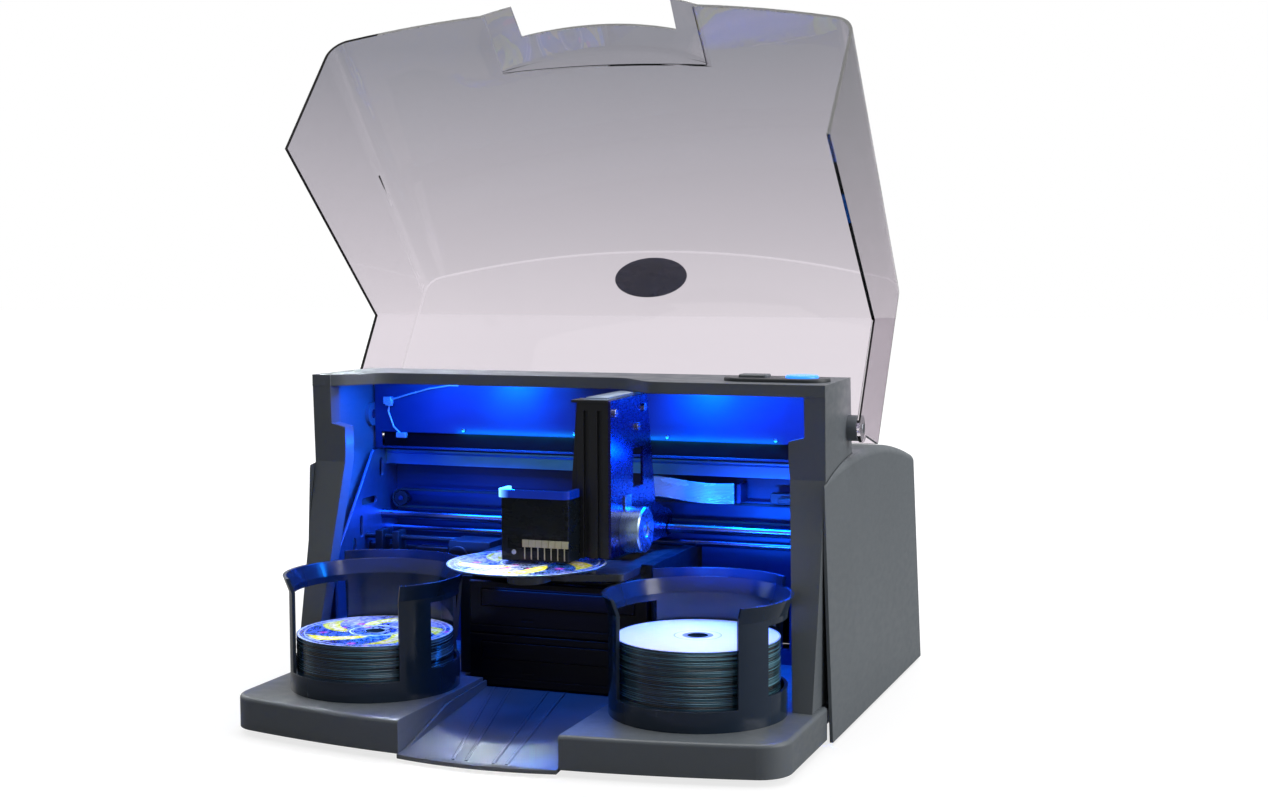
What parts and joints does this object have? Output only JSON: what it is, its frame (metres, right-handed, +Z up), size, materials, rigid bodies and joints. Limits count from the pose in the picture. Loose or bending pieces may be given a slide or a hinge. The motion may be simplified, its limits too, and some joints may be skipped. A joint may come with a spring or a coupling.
{
  "type": "disc label printer",
  "caption": "Desktop disc label printer with robotic picker, tilting smoked lid, twin disc bins, print tray, drives and exit chute.",
  "frame": {"origin": "centre of the bounding box at the surface the feet stand on", "axes": "+Z up, +Y from the bins towards the rear panel, +X to the right as seen from the front"},
  "size_m": [0.441, 0.4684, 0.5584],
  "materials": {
    "slate_shell": "fine satin texture",
    "smoked_clear": "smoked, polished",
    "badge_grey": "plain oval",
    "black_plastic": "semi-gloss black",
    "drive_black": "fine satin black",
    "drive_steel": "satin black",
    "zinc_steel": "zinc plated",
    "ground_steel": "ground and polished",
    "motor_body": "turned",
    "bulkhead_paint": "satin dark",
    "belt_rubber": "matt",
    "foot_rubber": "matt",
    "pulley_nylon": "natural nylon",
    "bronze": "sintered",
    "tray_grey": "satin",
    "printed_disc": "printed face",
    "blank_disc": "white printable face",
    "circuit_green": "solder mask",
    "blue_lens": "lit blue",
    "clear_blue": "clear blue",
    "gold_contact": "plated",
    "chuck_rubber": "matt",
    "ribbon_grey": "flexible",
    "pad_slate": "satin",
    "key_grey": "satin",
    "button_blue": "translucent blue"
  },
  "bodies": {
    "chassis": {"base_pan": "zinc_steel", "rubber_feet": "foot_rubber", "front_deck": "slate_shell", "exit_chute": "slate_shell", "tower_shell": "slate_shell", "hinge_pins": "zinc_steel", "rear_housing": "slate_shell", "back_panel": "bulkhead_paint", "housing_screws": "ground_steel", "power_inlet": "black_plastic", "usb_socket": "black_plastic", "fan_frame": "black_plastic", "control_board": "circuit_green", "input_bin": "black_plastic", "output_bin": "black_plastic", "drive_cage": "bulkhead_paint", "lower_drive": "drive_steel", "upper_drive": "drive_steel", "tray_rails": "zinc_steel", "left_frame": "zinc_steel", "right_frame": "zinc_steel", "bay_back_wall": "bulkhead_paint", "cross_beam": "zinc_steel", "guide_rod": "ground_steel", "tie_rod": "ground_steel", "carriage_belt": "belt_rubber", "belt_motor": "motor_body", "ribbon_cable": "ribbon_grey", "ribbon_clips": "black_plastic", "led_boards": "circuit_green", "led_lenses": "blue_lens", "control_pad": "pad_slate"},
    "lid": {"lid_shell": "smoked_clear", "lid_badge": "badge_grey"},
    "carriage": {"carriage_plate": "zinc_steel", "carriage_block": "black_plastic", "rod_bushes": "bronze", "lift_column": "black_plastic", "lift_motor": "motor_body", "lift_belt": "belt_rubber", "carriage_screws": "ground_steel"},
    "head": {"head_box": "black_plastic", "head_bracket": "zinc_steel", "contact_strip": "gold_contact", "contact_pins": "gold_contact", "light_guide": "clear_blue", "disc_chuck": "chuck_rubber"},
    "drive_pulley": {"drive_pulley": "pulley_nylon"},
    "idler_pulley": {"idler_pulley": "pulley_nylon"},
    "motor_pulley": {"motor_pulley": "pulley_nylon"},
    "top_pulley": {"top_pulley": "pulley_nylon"},
    "print_tray": {"print_tray": "tray_grey", "tray_disc": "printed_disc"},
    "lower_drive_tray": {"lower_drive_tray": "drive_black"},
    "upper_drive_tray": {"upper_drive_tray": "drive_black"},
    "power_key": {"power_key": "key_grey"},
    "load_button": {"load_button": "button_blue"},
    "fan_rotor": {"fan_rotor": "black_plastic"},
    "blank_discs": {"blank_discs": "blank_disc"},
    "printed_discs": {"printed_discs": "printed_disc"}
  },
  "joints": [
    {"name": "lid_hinge", "type": "hinge", "parent": "chassis", "child": "lid", "pos_m": [0, 0.00935, 0.226], "axis": [1, 0, 0], "range_deg": [0, 130]},
    {"name": "carriage_slide", "type": "slide", "parent": "chassis", "child": "carriage", "axis": [1, 0, 0], "range_m": [-0.156, 0.104]},
    {"name": "head_lift", "type": "slide", "parent": "carriage", "child": "head", "axis": [0, 0, 1], "range_m": [0, 0.055]},
    {"name": "drive_pulley_spin", "type": "hinge", "parent": "chassis", "child": "drive_pulley", "pos_m": [0.188, 0.03015, 0.1525], "axis": [0, 1, 0], "range_deg": [-1500, 1500]},
    {"name": "idler_pulley_spin", "type": "hinge", "parent": "chassis", "child": "idler_pulley", "pos_m": [-0.188, 0.03015, 0.1525], "axis": [0, 1, 0], "range_deg": [-1500, 1500]},
    {"name": "motor_pulley_spin", "type": "hinge", "parent": "carriage", "child": "motor_pulley", "pos_m": [0.049, -0.07885, 0.1525], "axis": [1, 0, 0], "range_deg": [-600, 600]},
    {"name": "top_pulley_spin", "type": "hinge", "parent": "carriage", "child": "top_pulley", "pos_m": [0.049, -0.07885, 0.2385], "axis": [1, 0, 0], "range_deg": [-600, 600]},
    {"name": "print_tray_slide", "type": "slide", "parent": "chassis", "child": "print_tray", "axis": [0, 1, 0], "range_m": [0, 0.098]},
    {"name": "lower_drive_eject", "type": "slide", "parent": "chassis", "child": "lower_drive_tray", "axis": [0, -1, 0], "range_m": [0, 0.118]},
    {"name": "upper_drive_eject", "type": "slide", "parent": "chassis", "child": "upper_drive_tray", "axis": [0, -1, 0], "range_m": [0, 0.118]},
    {"name": "power_key_press", "type": "slide", "parent": "chassis", "child": "power_key", "axis": [0, 0, -1], "range_m": [0, 0.001], "stiffness_N_per_m": 400, "springref_m": -0.0005},
    {"name": "load_button_press", "type": "slide", "parent": "chassis", "child": "load_button", "axis": [0, 0, -1], "range_m": [0, 0.001], "stiffness_N_per_m": 400, "springref_m": -0.0005},
    {"name": "fan_spin", "type": "hinge", "parent": "chassis", "child": "fan_rotor", "pos_m": [0.11, 0.21515, 0.1075], "axis": [0, 1, 0], "continuous": true},
    {"name": "blank_discs_lift", "type": "slide", "parent": "chassis", "child": "blank_discs", "axis": [0, 0, 1], "range_m": [0, 0.045]},
    {"name": "printed_discs_lift", "type": "slide", "parent": "chassis", "child": "printed_discs", "axis": [0, 0, 1], "range_m": [0, 0.045]}
  ],
  "couplings": [
    {"joint": "drive_pulley_spin", "follows": "carriage_slide", "rad_per_m": 147.06},
    {"joint": "idler_pulley_spin", "follows": "carriage_slide", "rad_per_m": 147.06},
    {"joint": "motor_pulley_spin", "follows": "head_lift", "rad_per_m": -158.73},
    {"joint": "top_pulley_spin", "follows": "head_lift", "rad_per_m": -158.73}
  ]
}
